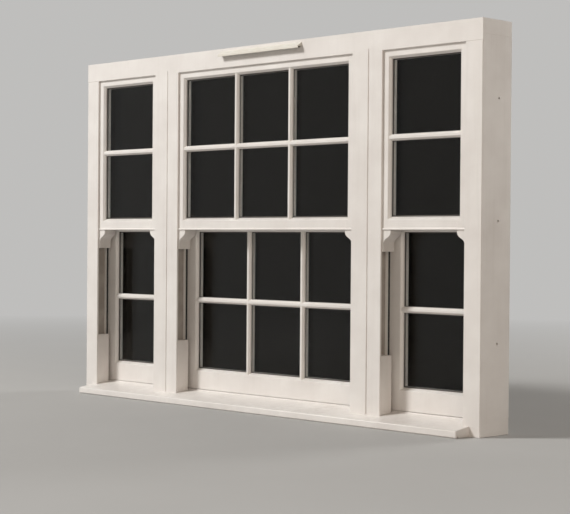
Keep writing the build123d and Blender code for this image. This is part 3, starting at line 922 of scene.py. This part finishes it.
# %% Floor
backdrop = (0.52, 0.515, 0.505)
floor_level = -0.0005
floor_rings = np.array([1.5, 3.0, 4.5, 6.0, 8.0, 12.0, 40.0])[:, None]
turns = 96
turn = np.linspace(0.0, 2 * np.pi, turns, endpoint=False)[None, :]
flat = np.full((len(floor_rings), turns), floor_level)
floor_points = np.stack([floor_rings * np.cos(turn), floor_rings * np.sin(turn), flat], axis=-1)
floor_points = np.concatenate([floor_points.reshape(-1, 3), [(0, 0, floor_level)]])
middle = len(floor_points) - 1
floor_faces = grid_faces(len(floor_rings), turns, False, True)
floor_faces += [[middle, j, (j + 1) % turns] for j in range(turns)]
floor_mesh = bpy.data.meshes.new("floor")
floor_mesh.from_pydata(floor_points.tolist(), [], floor_faces)
floor = bpy.data.objects.new("floor", floor_mesh)
bpy.context.scene.collection.objects.link(floor)


def looked_at(tree):
    """One for rays from the camera, a mirror or glass, nought for rays that light a surface."""
    rays = add_node(tree, "ShaderNodeLightPath").outputs
    seen = calc(tree, "MAXIMUM", rays["Is Camera Ray"], rays["Is Glossy Ray"])
    return calc(tree, "MAXIMUM", seen, rays["Is Transmission Ray"])


floor_finish, tree, shader = new_material("pale floor")
place = add_node(tree, "ShaderNodeTexCoord").outputs["Object"]
distance = add_node(tree, "ShaderNodeVectorMath", {0: place}, operation="LENGTH").outputs["Value"]
mottle = add_node(tree, "ShaderNodeTexNoise", {"Vector": place, "Scale": 2.5, "Detail": 5.0})
tree.links.new(
    mixed(tree, mottle.outputs["Fac"], (0.445, 0.44, 0.43, 1.0), (0.475, 0.47, 0.46, 1.0)),
    shader.inputs["Base Color"],
)
shader.inputs["Roughness"].default_value = 0.75
glow = add_node(tree, "ShaderNodeEmission", {"Color": (*backdrop, 1.0), "Strength": 1.0})
fade = calc(tree, "MULTIPLY", ranged(tree, distance, 1.6, 7.5, 0.0, 1.0), looked_at(tree))
blended = add_node(tree, "ShaderNodeMixShader", {0: fade, 1: shader.outputs[0], 2: glow.outputs[0]})
tree.links.new(blended.outputs[0], tree.nodes["Material Output"].inputs["Surface"])
floor_mesh.materials.append(floor_finish)
floor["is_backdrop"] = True
print("floor:", len(floor_faces), "faces")

# %% World
world = bpy.data.worlds.new("surroundings")
bpy.context.scene.world = world
world.use_nodes = True
tree = world.node_tree
even = tree.nodes["Background"]
even.inputs["Color"].default_value = (1.0, 0.92, 0.83, 1.0)
even.inputs["Strength"].default_value = 0.16
pale = add_node(tree, "ShaderNodeBackground", {"Color": (*backdrop, 1.0), "Strength": 1.0})
shown = add_node(
    tree, "ShaderNodeMixShader", {0: looked_at(tree), 1: even.outputs[0], 2: pale.outputs[0]}
)
tree.links.new(shown.outputs[0], tree.nodes["World Output"].inputs["Surface"])
print("world:", world.name)

# %% Lamps
def soft_lamp(name, place, aim, size, power, colour):
    """Square lamp at a place, turned towards the point it lights."""
    lamp = bpy.data.lights.new(name, "AREA")
    lamp.shape = "SQUARE"
    lamp.size = size
    lamp.energy = power
    lamp.color = colour
    holder = bpy.data.objects.new(name, lamp)
    bpy.context.scene.collection.objects.link(holder)
    back = np.array(place, float) - np.array(aim, float)
    back /= np.linalg.norm(back)
    side = np.cross((0.0, 0.0, 1.0), back)
    side /= np.linalg.norm(side)
    pose = np.eye(4)
    pose[:3, :3] = np.stack([side, np.cross(back, side), back], axis=1)
    pose[:3, 3] = place
    holder.matrix_world = pose.T.tolist()
    return holder


soft_lamp("key", (-4.3, -5.9, 6.6), (0, 0, 0.6), 1.8, 740, (1.0, 0.99, 0.97))
soft_lamp("fill", (5.2, -3.2, 1.7), (0, 0, 0.7), 2.4, 58, (1.0, 0.85, 0.71))
soft_lamp("room side", (2.2, 8.0, 2.4), (0, 0, 0.7), 3.0, 330, (1.0, 0.98, 0.95))
bpy.context.scene.view_settings.view_transform = "Standard"

# %% Finish
low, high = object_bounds()
print("dressed size:", np.round(np.array(high) - np.array(low), 3))
